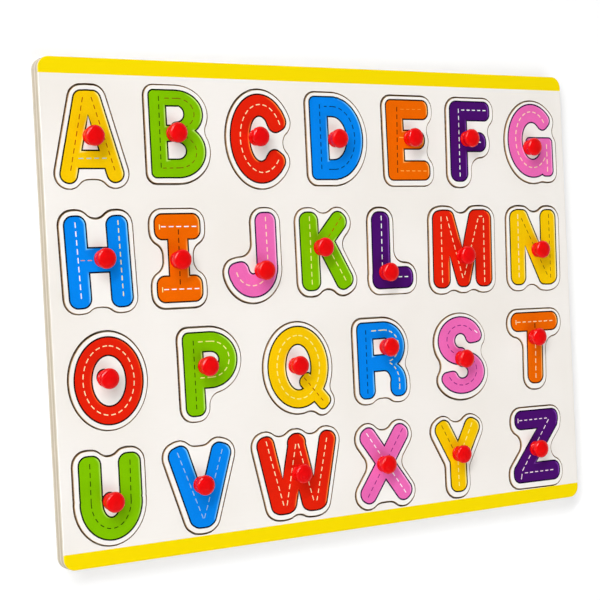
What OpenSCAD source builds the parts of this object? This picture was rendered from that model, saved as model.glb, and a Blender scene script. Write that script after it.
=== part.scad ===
// Alphabet knob puzzle: a board with 26 letter-shaped pockets, a loose letter tile in each pocket,
// and a knob on each tile to lift it out by. The board lies flat with its printed face up:
// +X runs along the rows of letters, +Y up the page, and the origin is under the middle of the board.

/* [Board] */
// Width of the board, along the rows
board_w = 300; // [298:1:320]
// Height of the board, across the rows
board_h = 225; // [225:1:245]
// Radius of the board's four corners
corner_r = 5.5; // [3:0.5:10]
// Thickness of the backing sheet
backing_t = 3; // [2:0.5:5]
// Thickness of the frame sheet that holds the tiles
frame_t = 4.5; // [3.5:0.5:6]
// Height of the coloured band along the top and bottom edges
band_h = 7.3; // [4:0.1:7.4]

/* [Letter tiles] */
// How far a tile stands above the frame sheet
tile_proud = 0.5; // [0:0.1:1]
// White border between a letter and its cut edge
border = 2.3; // [2.2:0.1:2.6]
// Radius of the hollow bends of the cut edge
waist_r = 6.5; // [6:0.5:8]
// Gap between a tile and its pocket
gap = 0.6; // [0.4:0.05:0.7]
// How far the cut edges are off the print along the rows
cut_x = -0.1; // [-0.4:0.1:0.4]
// How far the cut edges are off the print up the page
cut_y = -0.4; // [-0.6:0.1:0.4]
// Turn of the cut edges against the print, in degrees
cut_turn = -0.15; // [-0.2:0.05:0.2]
// Thickness of the printed letters and bands
ink_t = 0.12; // [0.1:0.02:0.3]

/* [Knobs] */
// Diameter of a knob's head
head_d = 9.3; // [8:0.1:10]
// Height of a knob's head
head_h = 4.4; // [3.6:0.1:4.4]
// Height of a whole knob above the print
knob_h = 6.8; // [6:0.1:8.5]
// Diameter of the flange that rests on the tile
flange_d = 7.8; // [6.5:0.1:9]
// Diameter of the stem in the tile
stem_d = 4; // [3:0.1:5]

/* [Hidden] */
// How much wider the pressed stem is than its hole
press = 0.05;
// Thickness of the flange at its rim and width of the neck under the head
flange_t = 1;
neck_d = 6.4;
// Length of the stem that stays clear of the tile's back
stem_short = 0.6;
// How deep the print is sunk so that it joins what it lies on
ink_root = 0.6;
// How far a cut runs past the face that it opens
past = 1;

// Usual width of a letter's stroke, and usual roundings at the ends of straight and curved strokes
stroke = 10;
bar_round = 4.2;
bow_round = 3;
// Angle between the points of a curve, and points around a rounding that is smoothed later
step = 12;
$fn = 360 / step;
corner_points = 16;

face_z = backing_t + frame_t;
tile_z = face_z + tile_proud;
ink_z = tile_z + ink_t;

yellow = "#F5C400";
green = "#7BC400";
red = "#E5200F";
blue = "#0A82F0";
orange = "#EC6A00";
purple = "#4E0F78";
pink = "#F060BE";

// A stroke is a list of shapes: each is a rounding and the outline that the rounding grows.

// Straight stroke from tip to tip
function bar(from, to, w = stroke, q = bar_round) =
    let (u = (to - from) / norm(to - from), n = (w / 2 - q) * [-u[1], u[0]])
    let (a = from + q * u, b = to - q * u)
    [[q, [a + n, a - n, b - n, b + n]]];

// Curved stroke between two ellipses about one centre, over a range of angles, with a round cap past each end
function bow(mid, outer, inner, from, to, q = bow_round) =
    let (o = outer - [q, q], i = inner + [q, q])
    [[0, band_points(mid, outer, inner, from, to)],
     [q, band_points(mid, o, i, from, from + step)],
     [q, band_points(mid, o, i, to - step, to)]];

// Outline of an elliptical band between two angles
function band_points(mid, outer, inner, from, to) =
    let (n = ceil((to - from) / step), turn = (to - from) / n)
    concat([for (k = [0:n]) on_ellipse(mid, outer, from + k * turn)],
           [for (k = [n:-1:0]) on_ellipse(mid, inner, from + k * turn)]);

function on_ellipse(mid, r, angle) = mid + [r[0] * cos(angle), r[1] * sin(angle)];

// Each letter: its name, colour, place on the board, knob's place on the tile, rest in the pocket, strokes,
// and for some the webs that its cut edge bridges between two strokes
LETTERS = [
    ["a", yellow, [-126.8, 77.7], [-0.2, 0.1], [0, -0.2],
        [bar([-12.4, -20.4], [-2.6, 20.3], 8.4, 4), bar([12.2, -20], [0.4, 20.3], 8.4, 4),
         bar([-7, 16.1], [5, 16.1], 8.8), bar([-10, -10], [10, -10], 8, 3)],
        [bar([-7, -13.7], [7, -13.7], 5.2, 2.4)]],
    ["b", green, [-83.8, 79.1], [-1.9, 0.2], [0.1, 0.15],
        [bar([-9.5, -19.9], [-9.5, 19.9], 8.6, 2.5), bar([-13.8, 16.3], [3, 16.3], 7.2, 2.5),
         bar([-13.8, -15.7], [3, -15.7], 8.4, 2.5), bar([-9.5, 0.2], [3, 0.2], 7.4, 2.5),
         bow([0, 9.2], [13.7, 10.7], [4, 3.8], -90, 90), bow([0, -7.6], [14.5, 12.3], [4.4, 3.9], -90, 90)]],
    ["c", red, [-39.7, 77.7], [-2.6, 0.5], [0.1, -0.1],
        [bow([0, 0], [16.2, 20.9], [5.7, 10.6], 29, 321, 4.2)]],
    ["d", blue, [3.6, 78.3], [-1.3, -0.6], [0.1, 0],
        [bar([-9.8, -20], [-9.8, 20], 10.2, 3), bar([-14.9, 15.2], [2, 15.2], 9.6, 3),
         bar([-14.9, -15.2], [2, -15.2], 9.6, 3), bow([-2, 0], [17.5, 20], [8, 10.4], -90, 90)]],
    ["e", orange, [46.6, 78], [1.1, 0.9], [0.15, -0.15],
        [bar([-7.7, -20], [-7.7, 20], 10.3, 3), bar([-12.8, 15.2], [13.1, 15.2], 9.6, 3.6),
         bar([-12.8, -15.2], [12.9, -15.2], 9.6, 3.6), bar([-7.7, 0.2], [10.3, 0.2], 9.4)]],
    ["f", purple, [86.3, 77.6], [-2.6, 1.2], [0.1, 0],
        [bar([-7.9, -20.4], [-7, 20.4], 10.8), bar([-12.2, 15.5], [13.3, 15.5], 9.7, 3.6),
         bar([-7, -0.3], [10.3, -0.3], 9.7)]],
    ["g", pink, [126.9, 78.2], [-1.4, -3.5], [0, 0],
        [bow([1.3, 0.1], [16.4, 19.2], [6.8, 9.7], 45, 320, 3.8), bar([10.9, -18.5], [10.9, 1.8], 8.4, 3),
         bar([-3, -2.2], [15.1, -2.2], 8, 2.5)]],
    ["h", blue, [-126.2, 22.5], [1.5, 1.3], [0.1, -0.2],
        [bar([-9.6, -20.3], [-10.8, 20.3], 10.6), bar([10.8, -20.3], [9.6, 20.3], 10.6),
         bar([-12, 0.8], [12, 0.8], 11, 3)],
        [bar([-5, -15], [5, -15], 5.2, 2.4)]],
    ["i", orange, [-86.1, 22.8], [-0.8, -1], [0, 0.15],
        [bar([-11.7, 14.2], [11.8, 14.2], 11.7, 4), bar([0, -18], [0, 18], 10.4, 3),
         bar([-11.7, -14.2], [11.6, -14.2], 12, 4)]],
    ["j", pink, [-47.1, 22.8], [4.4, -7.3], [0.1, 0.1],
        [bar([7.9, -8], [7.9, 20], 11.2), bow([0, -5.5], [13.6, 14.2], [2.4, 3.2], 192, 360, 4.2)]],
    ["k", green, [-5.7, 23.7], [-3.2, 1.7], [0, 0.15],
        [bar([-9, -18.8], [-9.1, 18.8], 10.5), bar([-4.5, 0.6], [11.1, 17.5], 9.6, 4.4),
         bar([-0.5, 5.1], [12.2, -18], 10.2)]],
    ["l", purple, [33.5, 23.5], [-4.6, -11], [0, -0.2],
        [bar([-6.8, -18.9], [-6, 18.9], 10.6), bar([-12.2, -13.8], [12.3, -13.8], 10.4)]],
    ["m", red, [78.3, 22.7], [-0.6, -3.4], [0.1, -0.1],
        [bar([-14.4, -19.5], [-13.2, 19.6], 10.6), bar([12.9, -19.5], [14.1, 19.6], 10.6),
         bar([-10.3, 19.5], [0.6, -19], 9, 3.9), bar([10.3, 19.5], [-1.4, -19], 9, 3.9),
         bar([-17.4, 15.6], [-5.2, 15.6], 8.6), bar([5.2, 15.6], [18.3, 15.6], 8.6)]],
    ["n", yellow, [126, 22.5], [2, -1.5], [0, -0.2],
        [bar([-11.4, -19.5], [-10.5, 19.6]), bar([9.8, -19.5], [10.6, 19.6], 10.6),
         bar([-9.4, 19], [8.8, -19], 9.4, 3.6), bar([-14.6, 15.6], [-3.6, 15.6], 8.6),
         bar([2.9, -15.6], [14.3, -15.6], 8.6)]],
    ["o", red, [-124.3, -30.4], [-2, 1.2], [0.1, -0.15],
        [bow([0, 0], [16.8, 19.5], [8.3, 11.3], 0, 180), bow([0, 0], [16.8, 19.5], [8.3, 11.3], 180, 360)]],
    ["p", green, [-72.6, -30.6], [-3, 3.5], [0.15, -0.15],
        [bar([-8.6, -19.2], [-8.9, 19.1], 10.2, 3.8), bar([-14, 14.6], [3, 14.6], 9, 3),
         bar([-8.9, -2.2], [3, -2.2], 9, 3), bow([0, 6.2], [14.2, 12.9], [4.6, 3.9], -90, 90)]],
    ["q", yellow, [-24.6, -31.2], [-1.9, 0.9], [0, 0],
        [bow([0, 0], [17, 19.5], [7.1, 10.9], 0, 180), bow([0, 0], [17, 19.5], [7.1, 10.9], 180, 360),
         bar([2, -4.4], [15.8, -19.6], 8, 3)]],
    ["r", blue, [24.5, -30.7], [2.3, 6.2], [0.1, -0.15],
        [bar([-9.8, -18.6], [-9.8, 18.6], 9.4, 3.8), bar([-14.4, 14.6], [4, 14.6], 8.2, 3),
         bar([-9.8, -1.5], [4, -1.5], 8, 3), bow([1, 6.6], [13, 12.1], [4, 4.1], -90, 90),
         bow([1, -11.3], [13.2, 11.2], [3.9, 5.8], 0, 90, 2.4), bar([9.3, -18.5], [9.3, -8], 9.8)],
        [bar([-5, -13.1], [4.5, -13.1], 5.8, 2.7)]],
    ["s", pink, [74.2, -31.8], [-0.6, -1.7], [0.15, 0.15],
        [bow([-0.3, 7.4], [14.3, 12.2], [3.6, 3.6], 16, 270, 3.5),
         bow([0.2, -8.8], [14.3, 10.8], [3.5, 3], -158, 90, 3.3)]],
    ["t", orange, [124.1, -30.8], [-1.2, 5.7], [0, 0],
        [bar([-16, 14], [16, 13.7], 9.7, 4.4), bar([-1, -18.6], [0, 14], 10.4)]],
    ["u", green, [-126.2, -82.1], [-0.5, -1.8], [0.1, -0.1],
        [bar([-9.7, -4], [-9.7, 19], 10.8), bar([9.8, -4], [9.8, 19], 10.8),
         bow([0, -2], [15.2, 17], [4.3, 6.9], 180, 360)]],
    ["v", blue, [-80.2, -82.1], [-0.7, 0.6], [0, 0.1],
        [bar([-12.6, 18.6], [-0.5, -18.2], 10.6), bar([12.2, 18.6], [0.3, -18.2], 10.6),
         bar([-6.9, -13.9], [6.7, -13.9], 11, 5.4)],
        [bar([-5, 13.6], [5, 13.6], 4.8, 2.2)]],
    ["w", red, [-27.8, -81.5], [0.2, -0.2], [0, 0.1],
        [bar([-18.2, 18.4], [-10, -18.3], 9.6), bar([1.2, 18.5], [-7.4, -18.3], 9.8),
         bar([-1.2, 18.5], [7.4, -18.3], 9.8), bar([18.6, 18.5], [10.2, -18.3], 9.6),
         bar([-15.7, -13.5], [-1.5, -13.5], 11, 5.4), bar([1.5, -13.5], [15.9, -13.5], 11, 5.4)]],
    ["x", pink, [23.5, -82.3], [-1.5, -0.1], [0, 0.1],
        [bar([-12.4, 17.4], [13.3, -18], 9.8, 4.5), bar([12.5, 17.9], [-13.4, -17.8], 9.8, 4.5)],
        [bar([-5.5, -13.1], [5, -13.1], 6, 2.8)]],
    ["y", yellow, [69.2, -82.5], [-0.2, 0.7], [0.1, 0.1],
        [bar([-11.2, 17.5], [1, -5]), bar([11.7, 17.5], [-1, -5]), bar([-0.3, -18.7], [-0.3, 2], 10.4)]],
    ["z", purple, [121.5, -82.5], [-1, -1.4], [0.1, 0],
        [bar([-14, 14.1], [15.5, 13.8], 9.7), bar([12.5, 15], [-12.5, -15], 10, 3),
         bar([-16, -13.6], [15.4, -14])]],
];

function name(letter) = letter[0];
function colour(letter) = letter[1];
function place(letter) = letter[2];
function knob_at(letter) = letter[3];
function rest(letter) = letter[4];
function strokes(letter) = letter[5];
function webs(letter) = len(letter) > 6 ? letter[6] : [];

// Outline of the board: a rectangle with round corners
module board_outline() {
    square([board_w - 2 * corner_r, board_h], center = true);
    square([board_w, board_h - 2 * corner_r], center = true);
    for (x = [-1, 1], y = [-1, 1])
        translate([x * (board_w / 2 - corner_r), y * (board_h / 2 - corner_r)])
            circle(corner_r);
}

// Shape that a list of strokes makes together
module stroke_union(list) {
    offset(delta = 0)
        for (shapes = list, shape = shapes)
            offset(r = shape[0])
                polygon(shape[1]);
}

// Cut outline around a letter: its border, with the counters filled and the hollows bridged by round bends.
// The border's rounding smooths the letter's corners, so these take few points.
module cut_outline(letter, more = 0) {
    offset(r = more - waist_r)
        offset(r = border + waist_r)
            stroke_union(concat(strokes(letter), webs(letter)), $fn = corner_points);
}

// Place of a letter's cut edges on the board: a little off the print, as all of them are cut in one go
module at_cut(letter) {
    translate([cut_x, cut_y])
        rotate(cut_turn)
            translate(place(letter))
                children();
}

// One of the two coloured bands, at the top (side 1) or the bottom (side -1) of the board
module band(side) {
    intersection() {
        board_outline();
        translate([0, side * (board_h - band_h) / 2])
            square([board_w, band_h], center = true);
    }
}

module backing_board() {
    color("burlywood")
        linear_extrude(backing_t)
            board_outline();
}

module frame_board() {
    color("whitesmoke")
        union() {
            translate([0, 0, backing_t])
                linear_extrude(frame_t)
                    difference() {
                        board_outline();
                        for (letter = LETTERS)
                            at_cut(letter)
                                cut_outline(letter, gap);
                    }
            for (side = [-1, 1])
                translate([0, 0, face_z - ink_root])
                    linear_extrude(ink_root + ink_t)
                        band(side);
        }
}

// Letter tile with its raised print and the hole for its knob's stem
module tile(letter) {
    color(colour(letter))
        translate(rest(letter))
            difference() {
                union() {
                    translate([0, 0, backing_t])
                        linear_extrude(tile_z - backing_t)
                            at_cut(letter)
                                cut_outline(letter);
                    translate([0, 0, tile_z - ink_root])
                        linear_extrude(ink_root + ink_t)
                            translate(place(letter))
                                stroke_union(strokes(letter));
                }
                translate(place(letter) + knob_at(letter))
                    cylinder(h = ink_z + past, d = stem_d - press);
            }
}

// Knob turned about its own axis: stem, flange on the print, neck and a flattened ball for a head
module knob(letter) {
    head_z = knob_h - head_h / 2;
    neck_angle = -acos(neck_d / head_d);
    turns = 12;
    stem_z = backing_t + stem_short - ink_z;
    color("red")
        translate(place(letter) + rest(letter) + knob_at(letter))
            translate([0, 0, ink_z])
                rotate_extrude()
                    polygon(concat(
                        [[0, stem_z], [stem_d / 2, stem_z], [stem_d / 2, 0]],
                        [[flange_d / 2, 0], [flange_d / 2, flange_t]],
                        [[neck_d / 2, 2 * flange_t]],
                        [for (k = [0:turns])
                            on_ellipse([0, head_z], [head_d, head_h] / 2,
                                       neck_angle + (90 - neck_angle) * k / turns)]));
}

backing_board();
frame_board();
for (letter = LETTERS) {
    tile(letter);
    knob(letter);
}
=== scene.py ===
"""Looks of an alphabet knob puzzle: a printed plywood board, its letter tiles and their knobs.

Lengths are in millimetres and become metres where a mesh is made. The board lies flat with its printed face
up: x runs along the rows of letters, y up the page and z out of the face. Outlines are read from the solids
of the frame, smoothed and carried into new surfaces, so every piece stays where its solid is.
"""

import logging
import math
from dataclasses import dataclass, field
from enum import Enum, auto
from typing import Any

import bmesh
import bpy
import numpy as np
from bpy.types import Material, Node, NodeSocket, NodeTree
from mathutils import Matrix, Vector
from mathutils.geometry import tessellate_polygon


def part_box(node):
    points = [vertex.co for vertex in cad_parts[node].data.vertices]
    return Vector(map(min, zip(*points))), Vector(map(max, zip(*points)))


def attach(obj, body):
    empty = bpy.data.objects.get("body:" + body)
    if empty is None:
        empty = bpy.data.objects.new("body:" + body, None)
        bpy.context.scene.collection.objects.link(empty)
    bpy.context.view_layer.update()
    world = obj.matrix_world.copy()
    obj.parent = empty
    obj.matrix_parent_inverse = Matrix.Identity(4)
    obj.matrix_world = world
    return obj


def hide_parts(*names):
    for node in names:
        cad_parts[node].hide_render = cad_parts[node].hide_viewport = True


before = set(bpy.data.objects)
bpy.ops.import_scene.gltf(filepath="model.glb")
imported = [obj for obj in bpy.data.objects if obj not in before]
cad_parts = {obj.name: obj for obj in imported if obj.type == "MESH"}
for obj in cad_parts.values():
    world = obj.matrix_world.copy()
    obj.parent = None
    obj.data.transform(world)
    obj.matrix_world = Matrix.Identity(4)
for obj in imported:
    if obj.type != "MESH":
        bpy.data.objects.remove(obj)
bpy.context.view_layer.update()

MM = 0.001
LOG = logging.getLogger("alphabet_puzzle")

FLAT = 0.01  # mm, corners this near to a height lie at it
DECIMALS = 3  # decimals of a mm that corners are rounded to before they are matched
DOUBLE = 0.1  # mm, points of an outline that are nearer than this count as one
WELD, SLIVER = 0.002, 0.001  # mm, at which the points of a surface are merged and its slivers dropped
MITRE_LEAST = 0.5  # least divisor of a mitre, which keeps it short at a sharp point
ARC_POINTS = 60  # points along a printed arc or ring


@dataclass(frozen=True)
class Heights:
    """Heights above the table, in mm.

    Attributes:
        glue: joint of the two sheets.
        face: printed face of the board.
        tile: face of a tile.
        ink_foot: foot of the print, just inside the tile.
        ink_fill: top of a letter's fill.
        ink_shine: top of its lighter edges.
        ink_line: top of its outline and dashes.
        print_top: top of the raised letter in the solids, on which the knob stands.
    """

    glue: float = 3
    face: float = 7.5
    tile: float = 8
    ink_foot: float = 7.9
    ink_fill: float = 8.04
    ink_shine: float = 8.05
    ink_line: float = 8.06
    print_top: float = 8.12


HEIGHTS = Heights()


# Finishes


def linear(code: str) -> tuple[float, float, float, float]:
    """Linear colour of an sRGB hex value.

    Args:
        code: colour such as "#F4F1EC".

    Returns:
        Red, green, blue and a full alpha.
    """
    srgb = np.array([int(code[k:k + 2], 16) for k in (1, 3, 5)]) / 255
    light = np.where(srgb <= 0.04045, srgb / 12.92, ((srgb + 0.055) / 1.055) ** 2.4)
    return (*light.tolist(), 1.0)


def per_mm(size: float) -> float:
    """Scale at which a pattern on metre coordinates repeats about once in a length in mm."""
    return 1 / (size * MM)


def own_node(tree: NodeTree, kind: str) -> Node:
    """Node of a type that a new tree holds from the start."""
    return next(node for node in tree.nodes if node.type == kind)


def feed(tree: NodeTree, node: Node, inputs: dict[Any, Any]) -> None:
    """Sets the inputs of a node.

    Args:
        tree: node tree that the node is in.
        node: node to feed.
        inputs: socket name or number to a value, a hex colour, or the output that feeds it.
    """
    for name, value in inputs.items():
        if isinstance(value, NodeSocket):
            tree.links.new(value, node.inputs[name])
        else:
            node.inputs[name].default_value = linear(value) if isinstance(value, str) else value


def add_node(tree: NodeTree, kind: str, inputs: dict[Any, Any] | None = None, output: str | int = 0,
             **settings: Any) -> NodeSocket:
    """Adds a shader node with its settings and links.

    Args:
        tree: node tree to add to.
        kind: Blender's name of the node's type, without the "ShaderNode" in front.
        inputs: what feeds the node, as for feed.
        output: name or number of the output that is wanted.
        settings: properties of the node.

    Returns:
        The output that is wanted.
    """
    node = tree.nodes.new("ShaderNode" + kind)
    for name, value in settings.items():
        setattr(node, name, value)
    feed(tree, node, inputs or {})
    return node.outputs[output]


@dataclass(frozen=True)
class Cloud:
    """Cloudy pattern around 0.5.

    Attributes:
        size: size of its blobs along x, y and z, in mm.
        detail: how many finer layers it has.
    """

    size: tuple[float, float, float]
    detail: float = 2


class Along(Enum):
    """What a layer can follow apart from clouds."""

    HEIGHT = auto()  # height above the table, in metres
    AWAY = auto()  # distance from the board's long middle line, in metres
    GLOW = auto()  # the point attribute of that name, from 0 to 1


GLOW = "glow"  # name of the point attribute that lightens a printed letter
SOFT = (0.3, 0.7)  # levels between which a cloud goes gently from one end to the other
FIBRE = Cloud((9, 0.5, 0.5), 3)  # fibre of the printed veneer, which runs along x


def follow(tree: NodeTree, place: NodeSocket, source: Cloud | Along) -> NodeSocket:
    """Adds what a layer follows.

    Args:
        tree: node tree to add to.
        place: Object coordinates, in metres.
        source: what to follow.

    Returns:
        Its value.
    """
    if isinstance(source, Cloud):
        spread = add_node(tree, "Mapping", {"Vector": place, "Scale": [per_mm(side) for side in source.size]})
        return add_node(tree, "TexNoise", {"Vector": spread, "Scale": 1.0, "Detail": source.detail}, "Fac")
    if source is Along.GLOW:
        return add_node(tree, "Attribute", output="Fac", attribute_name=GLOW)
    if source is Along.HEIGHT:
        return add_node(tree, "SeparateXYZ", {0: place}, "Z")
    y = add_node(tree, "SeparateXYZ", {0: place}, "Y")
    return add_node(tree, "Math", {0: y}, operation="ABSOLUTE")


@dataclass(frozen=True)
class Layer:
    """Colour laid over what is under it while the sum of a few patterns goes from one level to another.

    Attributes:
        colour: hex colour.
        follows: the patterns.
        levels: values of their sum at which the colour begins and is full.
        most: share of the colour where it is full.
    """

    colour: str
    follows: tuple[Cloud | Along, ...]
    levels: tuple[float, float] = SOFT
    most: float = 1

    def over(self, tree: NodeTree, value: NodeSocket, under: str | NodeSocket) -> NodeSocket:
        """Lays the colour over another one.

        Args:
            tree: node tree to add to.
            value: sum of the patterns.
            under: hex colour or output that lies under it.

        Returns:
            The new colour.
        """
        start, end = self.levels
        share = add_node(tree, "MapRange", {"Value": value, 1: start, 2: end, 4: self.most})
        return add_node(tree, "Mix", {0: share, 6: under, 7: self.colour}, 2, data_type="RGBA")


@dataclass(frozen=True)
class Finish:
    """A material with a procedural surface, made once and shared by its pieces.

    Attributes:
        name: what the material is.
        ground: colour under all its layers.
        relief: pattern of its relief.
        bump: strength of the relief.
        depth: depth of the relief, in mm.
        roughness: roughness where the relief is low.
        rougher: how much rougher it is where the relief is high.
        specular: strength of its clear reflection.
        gloss: tint of that reflection.
    """

    name: str
    ground: str = "#808080"
    relief: Cloud = FIBRE
    bump: float = 0.1
    depth: float = 0.03
    roughness: float = 0.5
    rougher: float = 0
    specular: float = 0.5
    gloss: str = "#FFFFFF"

    def layers(self) -> tuple[Layer, ...]:
        """Layers over the ground, the lowest first."""
        raise NotImplementedError

    def colour(self, tree: NodeTree, place: NodeSocket) -> NodeSocket:
        """Lays the layers over the ground.

        Args:
            tree: the material's node tree.
            place: Object coordinates, in metres.

        Returns:
            The colour.
        """
        colour: str | NodeSocket = self.ground
        for layer in self.layers():
            value, *others = (follow(tree, place, source) for source in layer.follows)
            for other in others:
                value = add_node(tree, "Math", {0: value, 1: other}, operation="ADD")
            colour = layer.over(tree, value, colour)
        return colour

    def material(self) -> Material:
        """Makes the material on first use.

        Returns:
            The finish's material.
        """
        known = bpy.data.materials.get(self.name)
        if known:
            return known
        made = bpy.data.materials.new(self.name)
        made.use_nodes = True
        tree = made.node_tree
        place = add_node(tree, "TexCoord", output="Object")
        relief = follow(tree, place, self.relief)
        rough = self.roughness
        if self.rougher:
            ends = {1: SOFT[0], 2: SOFT[1], 3: self.roughness, 4: self.roughness + self.rougher}
            rough = add_node(tree, "MapRange", {"Value": relief, **ends})
        bumps = add_node(tree, "Bump", {"Height": relief, "Strength": self.bump, "Distance": self.depth * MM})
        feed(tree, own_node(tree, "BSDF_PRINCIPLED"), {
            "Base Color": self.colour(tree, place), "Roughness": rough, "Normal": bumps,
            "Specular IOR Level": self.specular, "Specular Tint": self.gloss})
        return made


@dataclass(frozen=True)
class PrintedFace(Finish):
    """White printed and varnished plywood face: even and satin, with a little of the veneer's fibre in it.

    Attributes:
        shade: colour of its greyer clouds and fibres.
        band: colour of the bands along the two long edges, if any.
        band_edge: distance from the middle at which the bands begin, in mm.
        band_blur: width over which they come in, in mm.
    """

    ground: str = "#F5F1EC"
    bump: float = 0.12
    roughness: float = 0.42
    rougher: float = 0.08
    specular: float = 0.06
    shade: str = "#EFEAE3"
    band: str | None = None
    band_edge: float = 105.2
    band_blur: float = 0.002

    def layers(self) -> tuple[Layer, ...]:
        """Broad clouds, fibres and, where there are any, bands with a sharp edge."""
        shades = (Layer(self.shade, (Cloud((60, 60, 60)),)), Layer(self.shade, (FIBRE,), (0.45, 0.8), 0.25))
        edge = (self.band_edge * MM, (self.band_edge + self.band_blur) * MM)
        return (*shades, Layer(self.band, (Along.AWAY,), edge)) if self.band else shades


@dataclass(frozen=True)
class PlyEdge(Finish):
    """Sanded edge of plywood: veneers that show long grain and end grain in turn, with thin glue lines.

    Attributes:
        dark: colour of an end-grain veneer; the ground is that of a long-grain one.
        glue: colour of the line between two veneers.
        ply: thickness of a veneer, in mm.
        sway: share of the other veneer's colour in a streak.
    """

    ground: str = "#D9D1C2"
    relief: Cloud = Cloud((14, 14, 0.35), 4)
    bump: float = 0.25
    depth: float = 0.06
    roughness: float = 0.7
    specular: float = 0.2
    dark: str = "#C3B6A0"
    glue: str = "#A3937A"
    ply: float = 1.5
    sway: float = 0.35

    def layers(self) -> tuple[Layer, ...]:
        """Every second veneer, and the glue by its distance from a line, in veneers."""
        return Layer(self.dark, (), (0, 1)), Layer(self.glue, (), (0.08, 0.03), 0.6)

    def colour(self, tree: NodeTree, place: NodeSocket) -> NodeSocket:
        """Veneers counted upwards by height, every second one dark, streaked along the edge.

        Args:
            tree: the material's node tree.
            place: Object coordinates, in metres.

        Returns:
            The colour.
        """
        z = follow(tree, place, Along.HEIGHT)
        count = add_node(tree, "Math", {0: z, 1: per_mm(self.ply)}, operation="MULTIPLY")
        layer = add_node(tree, "Math", {0: count}, operation="FLOOR")
        second = add_node(tree, "Math", {0: layer, 1: 2}, operation="MODULO")
        streak = follow(tree, place, self.relief)
        ends = {1: SOFT[0], 2: SOFT[1], 3: -self.sway, 4: self.sway}
        shift = add_node(tree, "MapRange", {"Value": streak, **ends})
        mixed = add_node(tree, "Math", {0: second, 1: shift}, operation="ADD")
        to_line = add_node(tree, "Math", {0: count, 1: 0.5}, operation="PINGPONG")
        veneers, lines = self.layers()
        return lines.over(tree, to_line, veneers.over(tree, mixed, self.ground))


@dataclass(frozen=True)
class BurntCut(Finish):
    """Wall left by the saw or laser in plywood: scorched brown in upright streaks, with painted light on a
    tile's wall above the board's face.

    Attributes:
        burnt: colour of the scorched streaks.
        rim: colour painted on a tile's wall above the board's face: painted light where light reaches the
            wall's top over the shaded gap.
        rim_h: height over which the rim comes in, in mm.
    """

    ground: str = "#9A7650"
    relief: Cloud = Cloud((0.9, 0.9, 9), 3)
    bump: float = 0.4
    depth: float = 0.08
    roughness: float = 0.8
    specular: float = 0.15
    burnt: str = "#4A3020"
    rim: str = "#CDAE86"
    rim_h: float = 0.2

    def layers(self) -> tuple[Layer, ...]:
        """Streaks over broader scorched stretches, and the rim of painted light above the board's face."""
        scorch = Layer(self.burnt, (self.relief, Cloud((12, 12, 4))), (0.75, 1.25))
        # the rim is painted light: a tile's wall is lighter where it stands above the board's face than in
        # the shaded gap below
        return scorch, Layer(self.rim, (Along.HEIGHT,), (HEIGHTS.face * MM, (HEIGHTS.face + self.rim_h) * MM))


@dataclass(frozen=True)
class BareVeneer(Finish):
    """Bare sanded poplar veneer: pale, with long soft grain along the sheet and short dark pores.

    Attributes:
        grain: colour of the late wood; the ground is that of the early wood.
        pore: colour of the pores.
    """

    ground: str = "#E3D0AE"
    relief: Cloud = Cloud((7, 0.45, 0.45))
    bump: float = 0.3
    depth: float = 0.05
    roughness: float = 0.68
    specular: float = 0.25
    grain: str = "#CDB089"
    pore: str = "#A98558"

    def layers(self) -> tuple[Layer, ...]:
        """Bands of grain, bent by a broad drift, and pores."""
        bands = Layer(self.grain, (Cloud((90, 16, 16)), Cloud((120, 3.5, 3.5), 4)), (0.75, 1.25))
        return bands, Layer(self.pore, (self.relief,), (0.6, 0.75), 0.5)


@dataclass(frozen=True)
class PrintInk(Finish):
    """Offset ink under satin varnish: an even colour with a slight press mottle and the fibre's faint relief.

    Attributes:
        shine: colour that the ink takes where the surface's glow is one, if any.
        mottle: share of its light that the ink loses where the mottle is darkest.
    """

    roughness: float = 0.45
    specular: float = 0.04
    shine: str | None = None
    mottle: float = 0.1

    def layers(self) -> tuple[Layer, ...]:
        """A mottle of fine grains and broad clouds and, where there is any, the shine."""
        mottle = Layer("#000000", (Cloud((0.6, 0.6, 0.6)), Cloud((14, 14, 14), 1)), (0.7, 1.3), self.mottle)
        return (mottle, Layer(self.shine, (Along.GLOW,), (0, 1))) if self.shine else (mottle,)


@dataclass(frozen=True)
class KnobPlastic(Finish):
    """Injection-moulded polystyrene: bright red, glossy, with the faint waviness of a moulded skin.

    Attributes:
        deep: colour where the pigment is thicker.
    """

    ground: str = "#EA0004"
    relief: Cloud = Cloud((2.5, 2.5, 2.5), 1)
    bump: float = 0.02
    depth: float = 0.02
    roughness: float = 0.11
    rougher: float = 0.03
    gloss: str = "#FFDCDC"
    deep: str = "#E20003"

    def layers(self) -> tuple[Layer, ...]:
        """Clouds of pigment."""
        return (Layer(self.deep, (Cloud((3, 3, 3)),), (0.35, 0.65)),)


BOARD_FACE = PrintedFace("white_and_yellow_print_on_ply", band="#F5D900")
TILE_FACE = PrintedFace("white_print_on_ply", ground="#F8F5F0", shade="#F3EFEA")
PLY_EDGE = PlyEdge("sanded_poplar_ply_edge")
BURNT_CUT = BurntCut("scorched_cut_ply")
BARE_VENEER = BareVeneer("bare_poplar_veneer")
KNOB_PLASTIC = KnobPlastic("red_moulded_polystyrene")


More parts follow.
